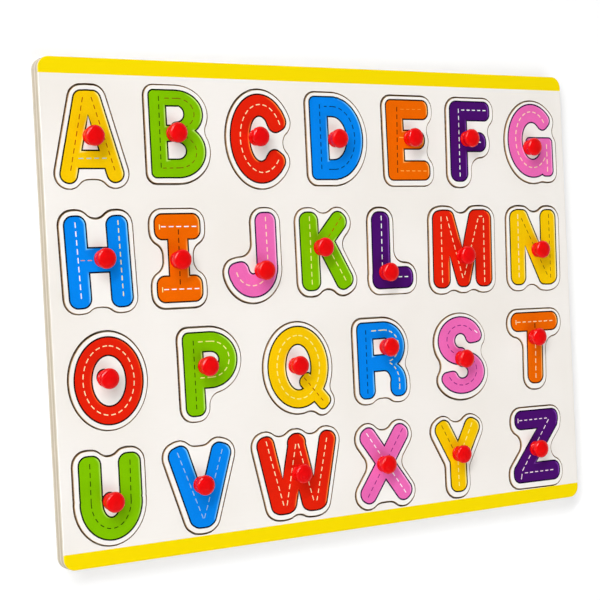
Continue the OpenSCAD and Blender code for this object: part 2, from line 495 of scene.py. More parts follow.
class Letterpress(Enum):
    """Ink sets of the letters: fill, outline and shine."""

    YELLOW = ("#F8C804", "#1E1602", "#FFEE86")
    GREEN = ("#80C200", "#0E1A06", "#C2EC6C")
    RED = ("#E6220A", "#2A0A06", "#FF8238")
    BLUE = ("#0486F0", "#06162C", "#70C8FF")
    ORANGE = ("#F06800", "#2C1808", "#FFB45C")
    PURPLE = ("#4A106C", "#1C0430", "#7E40A8")
    PINK = ("#F06CB8", "#2C183E", "#FFA8DC")

    def fill(self) -> PrintInk:
        """Ink of a letter's fill, which shines along its right edges."""
        return PrintInk(f"{self.name.lower()}_letter_ink", self.value[0], shine=self.value[2])

    def outline(self) -> PrintInk:
        """Ink of a letter's outline."""
        return PrintInk(f"{self.name.lower()}_outline_ink", self.value[1])

    def slot(self) -> str:
        """Material slot of a tile with this ink set."""
        return f"printed_{self.name.lower()}"


class DashInk(Enum):
    """Inks of the dashed lines on the letters, each with the width of its lines in mm."""

    CREAM = ("#FFE9B4", 0.48)
    WHITE = ("#FFFFFF", 0.47)
    STRAW = ("#FFF38C", 0.45)
    APRICOT = ("#FFB84E", 0.4)
    AMBER = ("#F49A38", 0.3)
    MIST = ("#A8CCE4", 0.34)
    ROSE = ("#FFE2F2", 0.5)
    NAVY = ("#06264E", 0.44)
    FOREST = ("#1E3A08", 0.44)
    UMBER = ("#7A4410", 0.38)
    RUST = ("#B0480A", 0.46)
    COFFEE = ("#4E2208", 0.5)
    MAGENTA = ("#8C1672", 0.42)

    def ink(self) -> PrintInk:
        """The ink itself."""
        return PrintInk(f"{self.name.lower()}_dash_ink", self.value[0])

    def width(self) -> float:
        """Width of a line in this ink, in mm."""
        return self.value[1]


# Shapes: outlines read from solids, and surfaces made from outlines


def flat_triangles(node: str, height: float) -> np.ndarray:
    """Triangles of a solid that lie flat at one height, all counter-clockwise when seen from above.

    Args:
        node: name of the solid.
        height: height of the flat face, in mm.

    Returns:
        Corners in plan, in mm, shaped (triangles, 3, 2).
    """
    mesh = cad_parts[node].data
    mesh.calc_loop_triangles()
    places = np.empty(len(mesh.vertices) * 3)
    mesh.vertices.foreach_get("co", places)
    corners = np.empty(len(mesh.loop_triangles) * 3, dtype=np.int32)
    mesh.loop_triangles.foreach_get("vertices", corners)
    triangles = places.reshape(-1, 3)[corners].reshape(-1, 3, 3) / MM
    plan = triangles[np.all(np.abs(triangles[:, :, 2] - height) < FLAT, axis=1)][:, :, :2]
    first, second = plan[:, 1] - plan[:, 0], plan[:, 2] - plan[:, 0]
    area = np.sum(first[:, 0] * second[:, 1] - first[:, 1] * second[:, 0])
    return plan if area > 0 else plan[:, ::-1]


def rim_loops(triangles: np.ndarray) -> list[np.ndarray]:
    """Closed borders of a flat patch of triangles, the largest first, each with the patch on its left.

    An edge that only one triangle has is on a border, and gives its first point a follower. Doubling the
    followers over and over hands every point the first point of its loop, and then its rank in that loop.

    Args:
        triangles: corners in plan, shaped (triangles, 3, 2).

    Returns:
        Loops of points in plan.
    """
    points, index = np.unique(np.round(triangles.reshape(-1, 2), DECIMALS), axis=0, return_inverse=True)
    corner = index.reshape(-1, 3)
    corner = corner[np.all(corner != np.roll(corner, 1, axis=1), axis=1)]
    edges = np.concatenate([corner[:, [0, 1]], corner[:, [1, 2]], corner[:, [2, 0]]])
    _, kind, count = np.unique(np.sort(edges, axis=1), axis=0, return_inverse=True, return_counts=True)
    border = edges[count[kind.ravel()] == 1]
    border = border[np.argsort(border[:, 0])]
    total = len(border)
    follower = np.searchsorted(border[:, 0], border[:, 1])
    rounds = range(math.ceil(math.log2(total)) + 1)

    first, jump = np.arange(total), follower
    for _ in rounds:
        first, jump = np.minimum(first, first[jump]), jump[jump]
    last = follower == first
    rank, jump = np.where(last, 0, 1), np.where(last, np.arange(total), follower)
    for _ in rounds:
        rank, jump = rank + rank[jump], jump[jump]

    order = np.lexsort((-rank, first))
    cuts = np.flatnonzero(np.diff(first[order])) + 1
    loops = np.split(points[border[order, 0]], cuts)
    loops = [loop[np.linalg.norm(loop - np.roll(loop, 1, axis=0), axis=1) > DOUBLE] for loop in loops]
    return sorted(loops, key=lambda loop: -np.ptp(loop[:, 0]) * np.ptp(loop[:, 1]))


def smooth_loop(loop: np.ndarray, parts: int = 3, straight: float = 4.6,
                corner_deg: float = 26) -> np.ndarray:
    """Loop with its short chords turned back into curves.

    Each side becomes a cubic that leaves along the direction at its start and arrives along the one at its
    end. That direction is the mean of the two sides that meet there, or that of a long straight side, and at
    a corner each side keeps its own.

    Args:
        loop: closed points in plan.
        parts: pieces that each side is cut into.
        straight: length from which a side counts as straight, in mm.
        corner_deg: turn from which a point counts as a corner.

    Returns:
        Closed points in plan, parts times as many.
    """
    side = np.roll(loop, -1, axis=0) - loop
    length = np.linalg.norm(side, axis=1, keepdims=True)
    out = side / length
    into, into_length = np.roll(out, 1, axis=0), np.roll(length, 1, axis=0)
    mean = out * into_length + into * length
    mean = np.where((length > straight) & (into_length < straight), out, mean)
    mean = np.where((length < straight) & (into_length > straight), into, mean)
    mean /= np.linalg.norm(mean, axis=1, keepdims=True)
    corner = np.sum(out * into, axis=1, keepdims=True) < math.cos(math.radians(corner_deg))
    leave = np.where(corner, out, mean) * length
    arrive = np.roll(np.where(corner, into, mean), -1, axis=0) * length
    t = np.arange(parts)[None, :, None] / parts
    start, end = loop[:, None, :], np.roll(loop, -1, axis=0)[:, None, :]
    curve = (start * (2 * t**3 - 3 * t**2 + 1) + end * (3 * t**2 - 2 * t**3)
             + leave[:, None, :] * (t**3 - 2 * t**2 + t) + arrive[:, None, :] * (t**3 - t**2))
    return curve.reshape(-1, 2)


def outward(loop: np.ndarray) -> np.ndarray:
    """Mitre of a closed loop at each point: how it moves when the loop is pushed out by one.

    The two sides that meet at a point have unit normals a and b, and the mitre is (a + b) / (1 + a.b).

    Args:
        loop: closed points in plan, with the material on the left.

    Returns:
        One vector for each point.
    """
    side = np.roll(loop, -1, axis=0) - loop
    side /= np.linalg.norm(side, axis=1, keepdims=True)
    after = np.stack([side[:, 1], -side[:, 0]], axis=1)
    before = np.roll(after, 1, axis=0)
    shared = np.sum(after * before, axis=1, keepdims=True)
    return (after + before) / np.maximum(1 + shared, MITRE_LEAST)


def grid_faces(rows: int, columns: int, close_rows: bool = False, close_columns: bool = False) -> np.ndarray:
    """Quads of a grid of points that is numbered row by row, joined to its start where it closes.

    Args:
        rows: rows of points.
        columns: points in a row.
        close_rows: whether the last row is joined to the first.
        close_columns: whether the last point of a row is joined to its first.

    Returns:
        Point numbers, shaped (quads, 4).
    """
    row = np.arange(rows if close_rows else rows - 1)[:, None]
    column = np.arange(columns if close_columns else columns - 1)[None, :]
    next_row, next_column = (row + 1) % rows, (column + 1) % columns
    quads = np.stack([row * columns + column, row * columns + next_column,
                      next_row * columns + next_column, next_row * columns + column], axis=-1)
    return quads.reshape(-1, 4)


def edge_profile(low: float, high: float, ease_low: float, ease_high: float, steps: int = 4) -> np.ndarray:
    """Upright edge of a sheet with a quarter round at its foot and at its head.

    Args:
        low: height of the foot, in mm.
        high: height of the head, in mm.
        ease_low: radius at the foot.
        ease_high: radius at the head.
        steps: pieces in each quarter round.

    Returns:
        Rows of distance out of the outline and height, from the foot up.
    """
    turn = np.linspace(0, math.pi / 2, steps + 1)
    foot = np.stack([ease_low * (np.sin(turn) - 1), low + ease_low * (1 - np.cos(turn))], axis=1)
    head = np.stack([ease_high * (np.cos(turn) - 1), high - ease_high * (1 - np.sin(turn))], axis=1)
    return np.concatenate([foot, head])


def around(turn: np.ndarray | float) -> np.ndarray:
    """Unit vectors in plan at angles in radians."""
    return np.stack([np.cos(turn), np.sin(turn)], axis=-1)


def lift(plan: np.ndarray, height: np.ndarray | float) -> np.ndarray:
    """Places in plan, set at their heights.

    Args:
        plan: places in plan, in mm, shaped (..., 2).
        height: heights in mm, of a shape that fits the plan's.

    Returns:
        Places in mm, shaped (points, 3).
    """
    tall = np.broadcast_to(height, plan.shape[:-1])[..., None]
    return np.concatenate([plan, tall], axis=-1).reshape(-1, 3)


def inset(loop: np.ndarray, distance: float) -> np.ndarray:
    """Loop moved into its material by a distance."""
    return loop - distance * outward(loop)


@dataclass
class Shell:
    """Surface of one piece, gathered patch by patch and then made an object.

    Attributes:
        name: name of the piece.
        finishes: its finishes, in the order of their first use, by which the patches number them.
        patches: points, faces, and each face's finish and smoothness and each point's glow, patch by patch.
        total: number of points so far.
    """

    name: str
    finishes: list[Finish] = field(default_factory=list)
    patches: list[tuple[np.ndarray, ...]] = field(default_factory=list)
    total: int = 0

    def add(self, points: np.ndarray, faces: np.ndarray, finish: Finish, smooth: bool = True,
            glow: np.ndarray | float = 0) -> None:
        """Adds a patch.

        Args:
            points: places in mm, shaped (points, 3).
            faces: point numbers within the patch, shaped (faces, 3 or 4).
            finish: the patch's finish.
            smooth: whether the patch is shaded as a curve.
            glow: share of its finish's shine, at all points or at each.
        """
        if finish not in self.finishes:
            self.finishes.append(finish)
        number = np.full(len(faces), self.finishes.index(finish), dtype=np.int32)
        self.patches.append((points, faces + self.total, number, np.full(len(faces), smooth, dtype=bool),
                             np.full(len(points), glow, dtype=float)))
        self.total += len(points)

    def wall(self, loop: np.ndarray, profile: np.ndarray, finish: Finish, closed: bool = False) -> None:
        """Carries a profile around a loop: point (j, i) is loop point i pushed out and lifted by row j.

        Args:
            loop: closed points in plan, with the material on the left.
            profile: rows of distance out and height.
            finish: the wall's finish.
            closed: whether the profile's last row is joined to its first.
        """
        plan = loop[None] + profile[:, None, :1] * outward(loop)[None]
        self.add(lift(plan, profile[:, 1:]), grid_faces(len(profile), len(loop), closed, True), finish)

    def cap(self, loops: list[np.ndarray], height: float, up: bool, finish: Finish) -> None:
        """Fills the flat area between loops with triangles.

        Args:
            loops: the outer loop and any holes, in plan.
            height: height of the fill, in mm.
            up: whether the fill faces up.
            finish: the fill's finish.
        """
        rings = [lift(loop, height) for loop in loops]
        points = np.concatenate(rings)
        corners = np.array(tessellate_polygon([ring.tolist() for ring in rings]), dtype=np.int32)
        a, b, c = (points[corners[:, k], :2] for k in range(3))
        faces_up = (b - a)[:, 0] * (c - a)[:, 1] > (b - a)[:, 1] * (c - a)[:, 0]
        corners[faces_up != up] = corners[faces_up != up][:, ::-1]
        self.add(points, corners, finish, smooth=False)

    def build(self, body: str, slot: str, replaces: str | None = None) -> None:
        """Makes the piece's object, closes its seams and hangs it on a body.

        Args:
            body: body that the piece moves with.
            slot: material slot that its finish belongs to; not used.
            replaces: solid that the piece stands for.
        """
        mesh = bpy.data.meshes.new(self.name)
        points, faces, numbers, smooth, glow = zip(*self.patches)
        corners = [face for patch in faces for face in patch.tolist()]
        mesh.from_pydata((np.concatenate(points) * MM).tolist(), [], corners)
        mesh.polygons.foreach_set("material_index", np.concatenate(numbers))
        mesh.polygons.foreach_set("use_smooth", np.concatenate(smooth))
        mesh.attributes.new(GLOW, "FLOAT", "POINT").data.foreach_set("value", np.concatenate(glow))
        for finish in self.finishes:
            mesh.materials.append(finish.material())
        merged = bmesh.new()
        merged.from_mesh(mesh)
        bmesh.ops.remove_doubles(merged, verts=merged.verts, dist=WELD * MM)
        bmesh.ops.dissolve_degenerate(merged, edges=merged.edges, dist=SLIVER * MM)
        merged.to_mesh(mesh)
        merged.free()
        piece = bpy.data.objects.new(self.name, mesh)
        bpy.context.scene.collection.objects.link(piece)
        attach(piece, body)
        if replaces:
            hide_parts(replaces)
        LOG.info("%s: %d faces on %s", self.name, len(mesh.polygons), body)


# Letters


@dataclass(frozen=True)
class Line:
    """Dashed straight line, in mm from the letter's middle."""

    start: tuple[float, float]
    end: tuple[float, float]
    ink: DashInk

    def points(self) -> np.ndarray:
        """Points along the line."""
        return np.array([self.start, self.end], dtype=float)


@dataclass(frozen=True)
class Arc:
    """Dashed arc of an upright ellipse, in mm from the letter's middle and in degrees."""

    middle: tuple[float, float]
    radii: tuple[float, float]
    start: float
    end: float
    ink: DashInk

    def points(self) -> np.ndarray:
        """Points along the arc: middle + (a cos t, b sin t)."""
        turn = np.radians(np.linspace(self.start, self.end, ARC_POINTS))
        return np.array(self.middle) + around(turn) * self.radii


STEM_ZONE = 2.5  # mm, a border of the print that stays this near to the knob's axis is the stem's hole
DASH_CUTS = 4  # cross sections of a dash
DASH_NUDGE = 0.05  # mm, to either side of a point, over which a dash's direction is taken
# Rows of a letter's shine: distance inside its edge in mm, brightness, and whether the row is at the top
SHINE_ROWS = ((0.36, 1, 0), (0.36, 1, 1), (0.82, 1, 1), (0.95, 0.22, 1), (1.5, 0, 1), (1.5, 0, 0))
# Cosines to the light from which an edge begins to shine, and from which it shines fully
SHINE_FROM, SHINE_FULL = 0.55, 0.95
# Radius of the dark ring in outline ink around a knob, and how far it is off the knob's axis towards the
# upper left, in mm; only its upper-left arc shows past the flange
RING_R, RING_SHIFT = 3.45, np.array([-0.25, 0.54])


@dataclass(frozen=True)
class LetterTile:
    """One letter: its plywood tile, the print on it and its knob.

    Attributes:
        name: the letter.
        press: its ink set.
        middle: middle of the letter on the board, in mm.
        dashes: dashed lines on it.
        ring: whether a dark ring in outline ink is drawn around the knob, of which only the arc past the
            flange's upper left shows.
        shine: strength of the shine along its right edges, from 0 to 1.
        ease: radius of the tile's edges, in mm.
        outline_out, outline_in: how far the outline reaches out of the letter, and into it.
        shine_deg: direction that the shining edges face.
        dash_l, dash_gap: length of a dash, and gap between two.
    """

    name: str
    press: Letterpress
    middle: tuple[float, float]
    dashes: tuple[Line | Arc, ...]
    ring: bool = False
    shine: float = 1
    ease: float = 0.16
    outline_out: float = 0.34
    outline_in: float = 0.36
    shine_deg: float = 18
    dash_l: float = 2.2
    dash_gap: float = 1.5

    def body(self) -> str:
        """Body that carries the tile."""
        return f"letter_{self.name}"

    def build(self) -> None:
        """Makes the tile, its print and its knob."""
        self.build_tile()
        self.build_print()
        Knob(self.name).build()

    def build_tile(self) -> None:
        """Plywood tile: eased wall around its outline, two faces and the hole for the knob's stem."""
        shell = Shell(f"{self.name}_tile")
        outline, hole = rim_loops(flat_triangles(f"tile_{self.name}", HEIGHTS.glue))[:2]
        outline = smooth_loop(outline)
        shell.wall(outline, edge_profile(HEIGHTS.glue, HEIGHTS.tile, self.ease, self.ease), BURNT_CUT)
        inner = inset(outline, self.ease)
        shell.cap([inner, hole], HEIGHTS.tile, True, TILE_FACE)
        shell.cap([inner, hole], HEIGHTS.glue, False, BARE_VENEER)
        shell.wall(hole, np.array([[0, HEIGHTS.glue], [0, HEIGHTS.tile]]), BURNT_CUT)
        shell.build(self.body(), self.press.slot(), f"tile_{self.name}")

    def build_print(self) -> None:
        """Print on the tile: the letter's fill, its outline, its shine, the ring and the dashes."""
        shell = Shell(f"{self.name}_print")
        ink, low, high = self.press.fill(), HEIGHTS.ink_foot, HEIGHTS.ink_fill
        axis = Knob(self.name).axis()
        rims = rim_loops(flat_triangles(f"tile_{self.name}", HEIGHTS.print_top))
        loops = [smooth_loop(rim) for rim in rims if np.max(np.linalg.norm(rim - axis, axis=1)) > STEM_ZONE]
        shell.cap(loops, high, True, ink)
        shell.cap(loops, low, False, ink)
        for loop in loops:
            shell.wall(loop, np.array([[0, low], [0, high]]), ink)
            self.add_line(shell, loop)
            self.add_shine(shell, loop)
        if self.ring:
            turn = np.linspace(0, 2 * math.pi, ARC_POINTS, endpoint=False)
            self.add_line(shell, axis + RING_SHIFT + RING_R * around(turn))
        for dash in self.dashes:
            self.add_dashes(shell, dash)
        shell.build(self.body(), self.press.slot())

    def add_line(self, shell: Shell, loop: np.ndarray) -> None:
        """Printed line around a loop, a flat bar in section.

        Args:
            shell: surface to add to.
            loop: closed points in plan.
        """
        out, into, low, high = self.outline_out, -self.outline_in, HEIGHTS.ink_foot, HEIGHTS.ink_line
        bar = np.array([[out, low], [out, high], [into, high], [into, low]])
        shell.wall(loop, bar, self.press.outline(), closed=True)

    def add_shine(self, shell: Shell, loop: np.ndarray) -> None:
        """Shine just inside a letter's edge wherever it faces right.

        The ribbon follows the edge at a few distances inside it, bright in its first step and fading to
        nothing at its last. Its brightness follows the cosine between the edge's outward direction and the
        light's.

        Args:
            shell: surface to add to.
            loop: edge of the letter, in plan.
        """
        out = outward(loop)
        facing = out @ around(math.radians(self.shine_deg)) / np.linalg.norm(out, axis=1)
        share = self.shine * np.clip((facing - SHINE_FROM) / (SHINE_FULL - SHINE_FROM), 0, 1)
        rows = np.array(SHINE_ROWS)
        plan = loop[None] - rows[:, None, :1] * out[None]
        height = np.where(rows[:, 2:] > 0, HEIGHTS.ink_shine, HEIGHTS.ink_foot)
        faces = grid_faces(len(rows), len(loop), True, True)
        kept = np.any(share[faces % len(loop)] > 0, axis=1)
        glow = (rows[:, 1, None] * share[None]).ravel()
        shell.add(lift(plan, height), faces[kept], self.press.fill(), False, glow)

    def add_dashes(self, shell: Shell, dash: Line | Arc) -> None:
        """Dashes along a line: short bars, each cut into a few pieces so that it bends with the line.

        Bar k runs from k steps along the line for one dash's length. Its four edges lie half a width to
        either side, at the foot and at the top.

        Args:
            shell: surface to add to.
            dash: line to follow.
        """
        path = dash.points() + self.middle
        along = np.concatenate([[0], np.cumsum(np.linalg.norm(np.diff(path, axis=0), axis=1))])
        count = max(1, round((along[-1] + self.dash_gap) / (self.dash_l + self.dash_gap)))
        step = (along[-1] + self.dash_gap) / count
        at = np.arange(count)[:, None] * step + np.linspace(0, step - self.dash_gap, DASH_CUTS)
        before, spots, after = (np.stack([np.interp(at + nudge, along, path[:, k]) for k in (0, 1)], axis=-1)
                                for nudge in (-DASH_NUDGE, 0, DASH_NUDGE))
        ahead = (after - before) / np.linalg.norm(after - before, axis=-1, keepdims=True)
        left = np.stack([-ahead[..., 1], ahead[..., 0]], axis=-1) * dash.ink.width() / 2
        sides = np.array([-1, -1, 1, 1])
        heights = np.array([HEIGHTS.ink_foot, HEIGHTS.ink_line, HEIGHTS.ink_line, HEIGHTS.ink_foot])
        plan = spots[:, :, None, :] + sides[None, None, :, None] * left[:, :, None, :]
        one = np.concatenate([grid_faces(DASH_CUTS, 4, False, True)[:, ::-1], [[0, 1, 2, 3]],
                              np.array([[3, 2, 1, 0]]) + 4 * (DASH_CUTS - 1)])
        faces = (one[None] + np.arange(count)[:, None, None] * 4 * DASH_CUTS).reshape(-1, 4)
        shell.add(lift(plan, heights), faces, dash.ink.ink(), smooth=False)


@dataclass(frozen=True)
class Knob:
    """Moulded knob: a stem in the tile, a flange on the print, a waist and a flattened ball.

    Attributes:
        name: letter that the knob belongs to.
        stem_r, flange_r, neck_r, head_r: radii of the stem, the flange, the waist and the head, in mm.
        stem_gap: height of the stem's foot above the tile's underside.
        flange_t, flange_ease: thickness of the flange at its rim, and radius of its two edges.
        head_h, knob_h: height of the head, and of the whole knob above the print.
        fullness: power of the head's section, 2 for an ellipse and more for a flatter crown.
        sides, head_points, waist_points: points around the axis, along the head and along the waist.
    """

    name: str
    stem_r: float = 2
    stem_gap: float = 0.6
    flange_r: float = 3.9
    flange_t: float = 1
    flange_ease: float = 0.3
    neck_r: float = 3.2
    head_r: float = 4.65
    head_h: float = 4.4
    knob_h: float = 6.8
    fullness: float = 2.5
    sides: int = 56
    head_points: int = 34
    waist_points: int = 8

    def axis(self) -> np.ndarray:
        """Axis of the knob in plan, in mm."""
        return np.array(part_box(f"knob_{self.name}")).mean(axis=0)[:2] / MM

    def profile(self) -> np.ndarray:
        """Half section from the stem's foot to the crown, as rows of radius and height above the print.

        Straight stem, quarter rounds on the flange's rim, a quarter wave for the waist, and for the head a
        curve on which (r / a)^n + (z / b)^n is one: r = a cos(t)^(2/n), z = b sin(t)^(2/n).

        Returns:
            Radius and height, in mm.
        """
        foot = HEIGHTS.glue + self.stem_gap - HEIGHTS.print_top
        stem = np.array([[0, foot], [self.stem_r, foot], [self.stem_r, 0]])
        rim = edge_profile(0, self.flange_t, self.flange_ease, self.flange_ease) + [self.flange_r, 0]
        power = 2 / self.fullness
        under = -math.acos((self.neck_r / self.head_r) ** (1 / power))
        turn = around(np.linspace(under, math.pi / 2, self.head_points))
        half = np.array([self.head_r, self.head_h / 2])
        head = [0, self.knob_h - self.head_h / 2] + half * np.sign(turn) * np.abs(turn) ** power
        head[-1, 0] = 0
        bend = around(np.linspace(0, math.pi / 2, self.waist_points)[1:-1])
        waist = rim[-1] + (head[0] - rim[-1]) * np.stack([bend[:, 1], 1 - bend[:, 0]], axis=1)
        return np.concatenate([stem, rim, waist, head])

    def build(self) -> None:
        """Turns the half section about the knob's axis: (r cos t, r sin t, z)."""
        section = self.profile()
        circle = around(np.linspace(0, 2 * math.pi, self.sides, endpoint=False))
        plan = self.axis() + section[:, None, :1] * circle[None]
        shell = Shell(f"{self.name}_knob")
        shell.add(lift(plan, section[:, 1:] + HEIGHTS.print_top),
                  grid_faces(len(section), self.sides, False, True), KNOB_PLASTIC)
        shell.build(f"letter_{self.name}", "knob_plastic", f"knob_{self.name}")


YELLOW, GREEN, RED, BLUE, ORANGE, PURPLE, PINK = Letterpress
CREAM, WHITE, STRAW, APRICOT, AMBER, MIST, ROSE, NAVY, FOREST, UMBER, RUST, COFFEE, MAGENTA = DashInk
LETTERS = (
    LetterTile("a", YELLOW, (-126.8, 77.7), (
        Line((-3, 17.2), (-10.5, -15.2), RUST), Line((1.1, 17.3), (10.9, -15), RUST),
        Line((-6.4, -9.8), (7.2, -9.6), MIST))),
    LetterTile("b", GREEN, (-83.8, 79.1), (
        Line((-8.5, 17.2), (-8.9, -15.2), FOREST), Line((-5.5, 16.3), (0.6, 16.4), UMBER),
        Arc((0.6, 9.5), (8.8, 6.9), 90, -70, UMBER), Arc((0.6, -7.9), (9.2, 7.4), 70, -90, UMBER),
        Line((0.6, -15.3), (-8, -15.4), UMBER))),
    LetterTile("c", RED, (-39.7, 77.7), (Arc((0.85, 0), (11.55, 16), 24.5, 321, CREAM),)),
    LetterTile("d", BLUE, (3.6, 78.3), (
        Line((-8.9, 16.3), (-9.2, -15), NAVY), Line((-6.3, 15.3), (-1.6, 15.3), NAVY),
        Arc((-1.6, 0.1), (12.5, 15.2), 90, -90, NAVY), Line((-1.6, -15.1), (-5.1, -15.1), NAVY))),
    LetterTile("e", ORANGE, (46.6, 78), (
        Line((-5.8, 16.3), (-7.1, -16.4), COFFEE), Line((-3.6, 15.2), (9.1, 15.3), AMBER),
        Line((-5, 1.2), (6, 0.6), APRICOT), Line((-5.2, -15.5), (11, -15.6), APRICOT))),
    LetterTile("f", PURPLE, (86.3, 77.6), (
        Line((-6.6, 16.6), (-7.4, -18), WHITE), Line((-4.7, 16), (11.2, 16), WHITE),
        Line((2, -0.3), (7.2, -0.4), WHITE))),
    LetterTile("g", PINK, (126.9, 78.2), (
        Arc((1.25, 0.7), (11.15, 14.7), 38, 320, CREAM), Line((11.2, -1.6), (11.2, -16.1), CREAM))),
    LetterTile("h", BLUE, (-126.2, 22.5), (
        Line((-10.4, 17.4), (-9.2, -16.2), WHITE), Line((10.4, 18), (11.3, -15.8), STRAW),
        Line((-8.6, 0.6), (7, 0.3), AMBER))),
    LetterTile("i", ORANGE, (-86.1, 22.8), (
        Line((-8.3, 14.4), (9.9, 14.2), WHITE), Line((-9.1, 13.2), (-9.1, 15.4), STRAW),
        Line((0.5, 13), (0.1, -12.1), COFFEE),
        Line((-8.3, -14.1), (9.8, -14.3), WHITE), Line((-9.1, -15.3), (-9.1, -13), STRAW))),
    LetterTile("j", PINK, (-47.1, 22.8), (
        Line((8.2, 18), (8.4, -5.5), CREAM), Arc((-0.4, -5.5), (8.8, 8.7), 0, -166, CREAM))),
    LetterTile("k", GREEN, (-5.7, 23.7), (
        Line((-8.5, 17), (-8.7, -15.8), STRAW), Line((-2.6, 1.4), (10, 16.5), RUST),
        Line((1.6, 1.7), (11, -14.5), STRAW))),
    LetterTile("l", PURPLE, (33.5, 23.5), (
        Line((-5.4, 16.8), (-6.2, -12.4), WHITE), Line((-4, -13.6), (9.4, -13.8), WHITE))),
    LetterTile("m", RED, (78.3, 22.7), (
        Line((-13, 16.6), (-13.9, -16.9), CREAM), Line((-9.4, 16.6), (-0.7, -14.9), CREAM),
        Line((0.5, -13.4), (10.9, 15.2), CREAM), Line((11.6, 16.4), (13.8, 16.4), CREAM),
        Line((14.5, 15.4), (13.5, -17.6), CREAM))),
    LetterTile("n", YELLOW, (126, 22.5), (
        Line((-10, 17.2), (-10.9, -15.8), CREAM), Line((-7.7, 15.2), (8.6, -15.1), UMBER),
        Line((11.3, 17), (10.9, -16.8), UMBER))),
    LetterTile("o", RED, (-124.3, -30.4), (Arc((0, 0), (12.5, 15.4), 90, 446, CREAM),),
        ring=True, shine=0.3),
    LetterTile("p", GREEN, (-72.6, -30.6), (
        Line((-8.3, 15.3), (-8.2, -16.2), FOREST), Line((-5.8, 14.6), (0.6, 14.6), STRAW),
        Arc((0.6, 6.3), (9.6, 8.3), 90, -90, STRAW), Line((0.6, -2), (-5.5, -2), STRAW))),
    LetterTile("q", YELLOW, (-24.6, -31.2), (
        Arc((0, 0), (12, 15.2), 90, 446, STRAW), Line((3, -5.3), (13.2, -17), RUST))),
    LetterTile("r", BLUE, (24.5, -30.7), (
        Line((-9.1, 15), (-9.5, -16.2), NAVY), Line((-5.7, 14.4), (1.6, 14.5), STRAW),
        Arc((1.6, 6.5), (8.9, 8), 90, -70, STRAW),
        Arc((1.3, -11.5), (8.7, 10.3), 68, 0, STRAW), Line((10, -12.6), (10, -15.4), STRAW))),
    LetterTile("s", PINK, (74.2, -31.8), (
        Line((9.2, 12.4), (11.1, 11), WHITE), Arc((0.2, 7.9), (9, 7.5), 36, 262, MAGENTA),
        Arc((0.3, -7.6), (9.3, 7.6), 70, -157, MAGENTA))),
    LetterTile("t", ORANGE, (124.1, -30.8), (
        Line((-11.8, 13.9), (12.5, 13.7), CREAM), Line((-12.6, 12.7), (-12.6, 15.1), CREAM),
        Line((0.3, 12.9), (0.2, 10.2), COFFEE),
        Line((0.2, 6), (-0.6, -16), CREAM))),
    LetterTile("u", GREEN, (-126.2, -82.1), (
        Line((-9.5, 15.6), (-9.75, -2), FOREST), Arc((0, -2), (9.75, 12), 180, 360, FOREST),
        Line((9.75, -2), (10.2, 15.7), FOREST)), ring=True, shine=0.5),
    LetterTile("v", BLUE, (-80.2, -82.1), (
        Line((-11.8, 16.3), (-0.1, -15), MIST), Line((11.7, 15.9), (0.5, -15), MIST))),
    LetterTile("w", RED, (-27.8, -81.5), (
        Line((-16.9, 16.5), (-8.8, -14.7), CREAM), Line((-7, -14.8), (-0.5, 13.8), CREAM),
        Line((0.9, 13.8), (8.1, -14), CREAM), Line((10, -14.3), (17.3, 15.2), CREAM))),
    LetterTile("x", PINK, (23.5, -82.3), (
        Line((-10.6, 16), (11.7, -15.6), WHITE), Line((11.4, 16.5), (-11.4, -15.6), MAGENTA))),
    LetterTile("y", YELLOW, (69.2, -82.5), (
        Line((-9.8, 16), (-1.5, 0.5), UMBER), Line((9.9, 15.8), (1.5, 0.5), STRAW),
        Line((-0.3, -3), (-0.2, -15.8), STRAW))),
    LetterTile("z", PURPLE, (121.5, -82.5), (
        Line((-10.8, 14), (8.2, 13.9), ROSE), Line((-11.7, 12.8), (-11.7, 15.2), ROSE),
        Line((9.3, 13.1), (-10.2, -12.4), ROSE), Line((-11.2, -16.8), (-10.6, -14), ROSE),
        Line((-8.6, -13.7), (11, -13.9), ROSE))),
)


# Board


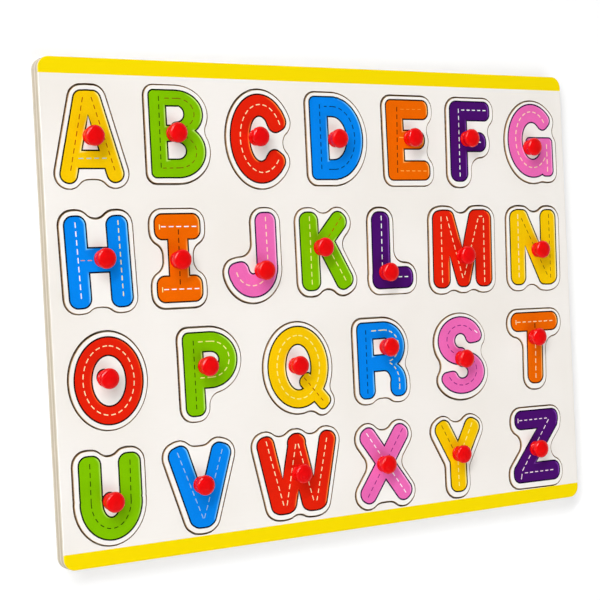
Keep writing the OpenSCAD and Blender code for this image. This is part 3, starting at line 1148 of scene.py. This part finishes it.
@dataclass(frozen=True)
class Board:
    """The two glued sheets: the printed one with the pockets, and the backing.

    Attributes:
        face_ease, back_ease: radii of the printed face's and the back's outer edge, in mm.
        pocket_ease, glue_ease: radii of a pocket's edge, and on both sides of the glue line.
        straight: length from which a side of the outline counts as straight.
    """

    face_ease: float = 0.4
    pocket_ease: float = 0.1
    back_ease: float = 0.4
    glue_ease: float = 0.06
    straight: float = 20

    def build(self) -> None:
        """Makes both sheets."""
        loops = rim_loops(flat_triangles("frame_board", HEIGHTS.glue))
        outline = smooth_loop(loops[0], straight=self.straight)
        self.build_frame(outline, [smooth_loop(loop) for loop in loops[1:]])
        self.build_backing(outline)

    def build_frame(self, outline: np.ndarray, pockets: list[np.ndarray]) -> None:
        """Printed sheet: ply edge, rounded face edge, face with pockets and scorched pocket walls.

        Args:
            outline: outer edge of the board, in plan.
            pockets: edges of the pockets, in plan.
        """
        shell = Shell("frame_sheet")
        edge = edge_profile(HEIGHTS.glue, HEIGHTS.face, self.glue_ease, self.face_ease)
        half = len(edge) // 2
        shell.wall(outline, edge[:half + 1], PLY_EDGE)
        shell.wall(outline, edge[half:], BOARD_FACE)
        hole_edge = edge_profile(HEIGHTS.glue, HEIGHTS.face, self.glue_ease, self.pocket_ease)
        for pocket in pockets:
            shell.wall(pocket, hole_edge, BURNT_CUT)
        tops = [inset(outline, self.face_ease), *(inset(pocket, self.pocket_ease) for pocket in pockets)]
        feet = [inset(loop, self.glue_ease) for loop in [outline, *pockets]]
        shell.cap(tops, HEIGHTS.face, True, BOARD_FACE)
        shell.cap(feet, HEIGHTS.glue, False, BARE_VENEER)
        shell.build("board", "printed_board", "frame_board")

    def build_backing(self, outline: np.ndarray) -> None:
        """Backing sheet: ply edge and two bare faces.

        Args:
            outline: outer edge of the board, in plan.
        """
        shell = Shell("backing_sheet")
        shell.wall(outline, edge_profile(0, HEIGHTS.glue, self.back_ease, self.glue_ease), PLY_EDGE)
        shell.cap([inset(outline, self.glue_ease)], HEIGHTS.glue, True, BARE_VENEER)
        shell.cap([inset(outline, self.back_ease)], 0, False, BARE_VENEER)
        shell.build("board", "plywood", "backing_board")


# Studio


@dataclass(frozen=True)
class Lamp:
    """Flat lamp aimed at the board's middle.

    Attributes:
        name: name of the lamp.
        at: its place, in mm.
        size: its level width and its height, in mm.
        watts: its power.
        mirrored, lights: whether glossy surfaces mirror it, and whether it lights matte ones.
    """

    name: str
    at: tuple[float, float, float]
    size: tuple[float, float]
    watts: float
    mirrored: bool = True
    lights: bool = True

    def add(self) -> None:
        """Puts the lamp in the scene."""
        data = bpy.data.lights.new(self.name, "AREA")
        data.shape = "RECTANGLE"
        data.size, data.size_y = (side * MM for side in self.size)
        data.energy = self.watts
        lamp = bpy.data.objects.new(self.name, data)
        lamp.visible_glossy = self.mirrored
        lamp.visible_diffuse = self.lights
        lamp.location = Vector(self.at) * MM
        lamp.rotation_euler = (-lamp.location).to_track_quat("-Z", "Y").to_euler()
        bpy.context.scene.collection.objects.link(lamp)


STRIP_AT = (-1404, 1673, 1587)  # mm, place of the long strip, once as a lamp and once as what knobs mirror


@dataclass(frozen=True)
class Studio:
    """Camera, lamps, pale surround and pale floor.

    Attributes:
        eye: place of the camera, in mm.
        right, up, back: directions of the picture's right and up, and from the scene to the camera.
        focal_px, middle_px: focal length, and where the camera's axis meets the picture, in pixels.
        picture_px: width and height of the picture.
        sensor, near: width of the sensor, and nearest distance that the camera sees, in mm.
        horizon, ceiling: strength of the light from low down all around, and from above.
        fade: sine of the height at which the one has become the other.
        lamps: the studio's lamps.
        floor_glow: share of the floor's white that doesn't depend on the lamps.
        floor_grey: how much light the floor throws back.
        floor_half, floor_drop: half the floor's side, and how far it lies under the board, in mm.
    """

    eye: tuple[float, float, float] = (-423.57, 4.19, 639.46)
    right: tuple[float, float, float] = (0.84224, -0.04948, 0.53682)
    up: tuple[float, float, float] = (0.05561, 0.99844, 0.00479)
    back: tuple[float, float, float] = (-0.53622, 0.02582, 0.84368)
    focal_px: float = 1564.9
    middle_px: tuple[float, float] = (300.9, 333.3)
    picture_px: float = 600
    sensor: float = 36
    near: float = 10
    horizon: float = 0.6
    ceiling: float = 0.146
    fade: float = 0.6
    lamps: tuple[Lamp, ...] = (Lamp("long_strip", STRIP_AT, (2600, 240), 47.8, mirrored=False),
                               Lamp("gloss_strip", STRIP_AT, (2600, 540), 140, lights=False),
                               Lamp("left_soft", (-2036, 178, 1840), (1400, 1400), 24.2, mirrored=False),
                               Lamp("low_soft", (300, -1100, 1300), (1600, 1200), 13.7, mirrored=False))
    floor_glow: float = 0.25
    floor_grey: float = 0.8
    floor_half: float = 2500
    floor_drop: float = 0.02

    def build(self) -> None:
        """Sets up the camera, the lamps, the surround and the floor."""
        self.add_camera()
        for lamp in self.lamps:
            lamp.add()
        self.add_surround()
        self.add_floor()
        bpy.context.scene.view_settings.view_transform = "Standard"

    def add_camera(self) -> None:
        """Camera at the photograph's place, direction and lens."""
        data = bpy.data.cameras.new("camera")
        data.sensor_width = self.sensor
        data.lens = self.focal_px / self.picture_px * self.sensor
        data.shift_x = (self.picture_px / 2 - self.middle_px[0]) / self.picture_px
        data.shift_y = (self.middle_px[1] - self.picture_px / 2) / self.picture_px
        data.clip_start = self.near * MM
        camera = bpy.data.objects.new("camera", data)
        turn = Matrix((self.right, self.up, self.back)).transposed().to_4x4()
        camera.matrix_world = Matrix.Translation(Vector(self.eye) * MM) @ turn
        bpy.context.scene.collection.objects.link(camera)
        bpy.context.scene.camera = camera

    def seen(self, tree: NodeTree) -> NodeSocket:
        """Tells rays that show a picture from those that carry light.

        Args:
            tree: node tree to add to.

        Returns:
            One for rays from the camera, a reflection or a clear body, and zero for the others.
        """
        path = add_node(tree, "LightPath").node.outputs
        shown = path["Is Camera Ray"]
        for other in ("Is Glossy Ray", "Is Transmission Ray"):
            shown = add_node(tree, "Math", {0: shown, 1: path[other]}, operation="MAXIMUM")
        return shown

    def add_surround(self) -> None:
        """Pale walls all around, which fade into a dim ceiling."""
        world = bpy.data.worlds.new("surround")
        bpy.context.scene.world = world
        world.use_nodes = True
        tree = world.node_tree
        towards = add_node(tree, "TexCoord", output="Generated")
        height = add_node(tree, "SeparateXYZ", {0: towards}, "Z")
        ends = {2: self.fade, 3: self.horizon, 4: self.ceiling}
        strength = add_node(tree, "MapRange", {"Value": height, **ends})
        feed(tree, own_node(tree, "BACKGROUND"), {"Color": "#FFFFFF", "Strength": strength})

    def add_floor(self) -> None:
        """Pale floor just under the board, white to the camera except in the board's shadow."""
        material = bpy.data.materials.new("pale_studio_floor")
        material.use_nodes = True
        tree = material.node_tree
        tree.nodes.remove(own_node(tree, "BSDF_PRINCIPLED"))
        matte = add_node(tree, "BsdfDiffuse", {"Color": (*[self.floor_grey] * 3, 1)})
        strength = add_node(tree, "Math", {0: self.seen(tree), 1: self.floor_glow}, operation="MULTIPLY")
        glow = add_node(tree, "Emission", {"Strength": strength})
        both = add_node(tree, "AddShader", {0: matte, 1: glow})
        feed(tree, own_node(tree, "OUTPUT_MATERIAL"), {"Surface": both})
        mesh = bpy.data.meshes.new("floor")
        square = np.array([(-1, -1), (1, -1), (1, 1), (-1, 1)]) * self.floor_half
        mesh.from_pydata((lift(square, -self.floor_drop) * MM).tolist(), [], [(0, 1, 2, 3)])
        mesh.materials.append(material)
        floor = bpy.data.objects.new("floor", mesh)
        bpy.context.scene.collection.objects.link(floor)


def main() -> None:
    """Builds the studio, the board and the letters."""
    logging.basicConfig(level=logging.INFO, format="%(name)s: %(message)s")
    Studio().build()
    Board().build()
    for letter in LETTERS:
        letter.build()


if __name__ == "__main__":
    main()
